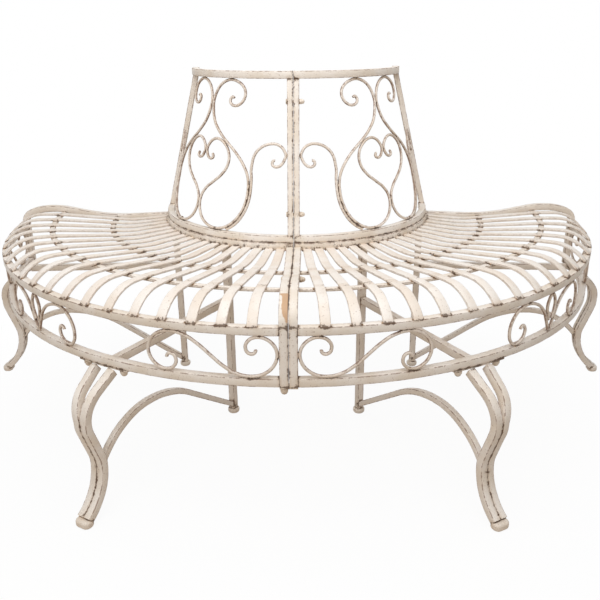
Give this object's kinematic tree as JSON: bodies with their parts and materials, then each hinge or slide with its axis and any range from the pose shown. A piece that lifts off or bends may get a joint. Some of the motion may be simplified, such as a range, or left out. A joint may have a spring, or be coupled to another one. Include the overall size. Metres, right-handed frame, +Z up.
{
  "type": "half-round tree bench",
  "caption": "Half-round bench of painted steel bar with a slatted seat, scrollwork in its apron and backrest, and splayed legs, made to stand against a tree.",
  "frame": {"origin": "on the ground, on the upright axis of the tree that the bench goes round", "axes": "+X along the bench to a sitter's left, -Y the way a sitter faces, +Z up"},
  "size_m": [1.594, 0.7028, 0.7737],
  "materials": {
    "painted_bar": "matt antique cream paint, rubbed through to brown at edges and welds",
    "painted_wire": "matt antique cream paint, rubbed through to brown along the wire",
    "painted_hardware": "matt cream paint over threads, worn brown at the corners",
    "painted_feet": "matt cream paint, scuffed at the ground"
  },
  "bodies": {
    "root": {"left_apron_heart_scrolls": "painted_wire", "left_apron_leaf": "painted_wire", "left_apron_lower_rim": "painted_bar", "left_apron_side_scrolls": "painted_wire", "left_back_bottom_bar": "painted_bar", "left_back_heart_scrolls": "painted_wire", "left_back_pear_scrolls": "painted_wire", "left_back_side_scrolls": "painted_wire", "left_back_top_bar": "painted_bar", "left_back_uprights": "painted_bar", "left_corner_posts": "painted_bar", "left_end_leg_arch_brace": "painted_bar", "left_end_leg_feet": "painted_feet", "left_end_leg_front_strands": "painted_bar", "left_end_leg_rear_post": "painted_bar", "left_end_leg_stretcher": "painted_bar", "left_inner_rim": "painted_bar", "left_middle_leg_arch_brace": "painted_bar", "left_middle_leg_feet": "painted_feet", "left_middle_leg_front_strands": "painted_bar", "left_middle_leg_rear_post": "painted_bar", "left_middle_leg_stretcher": "painted_bar", "left_outer_end_bar": "painted_bar", "left_outer_rim": "painted_bar", "left_seam_end_bar": "painted_bar", "left_seat_slats": "painted_bar", "left_support_rings": "painted_bar", "leg_plates": "painted_bar", "plate_nuts": "painted_hardware", "plate_studs": "painted_hardware", "right_apron_heart_scrolls": "painted_wire", "right_apron_leaf": "painted_wire", "right_apron_lower_rim": "painted_bar", "right_apron_side_scrolls": "painted_wire", "right_back_bottom_bar": "painted_bar", "right_back_heart_scrolls": "painted_wire", "right_back_pear_scrolls": "painted_wire", "right_back_side_scrolls": "painted_wire", "right_back_top_bar": "painted_bar", "right_back_uprights": "painted_bar", "right_corner_posts": "painted_bar", "right_end_leg_arch_brace": "painted_bar", "right_end_leg_feet": "painted_feet", "right_end_leg_front_strands": "painted_bar", "right_end_leg_rear_post": "painted_bar", "right_end_leg_stretcher": "painted_bar", "right_inner_rim": "painted_bar", "right_middle_leg_arch_brace": "painted_bar", "right_middle_leg_feet": "painted_feet", "right_middle_leg_front_strands": "painted_bar", "right_middle_leg_rear_post": "painted_bar", "right_middle_leg_stretcher": "painted_bar", "right_outer_end_bar": "painted_bar", "right_outer_rim": "painted_bar", "right_seam_end_bar": "painted_bar", "right_seat_slats": "painted_bar", "right_support_rings": "painted_bar", "seam_bolts": "painted_hardware", "seam_nuts": "painted_hardware", "seam_plate": "painted_bar"}
  },
  "joints": []
}
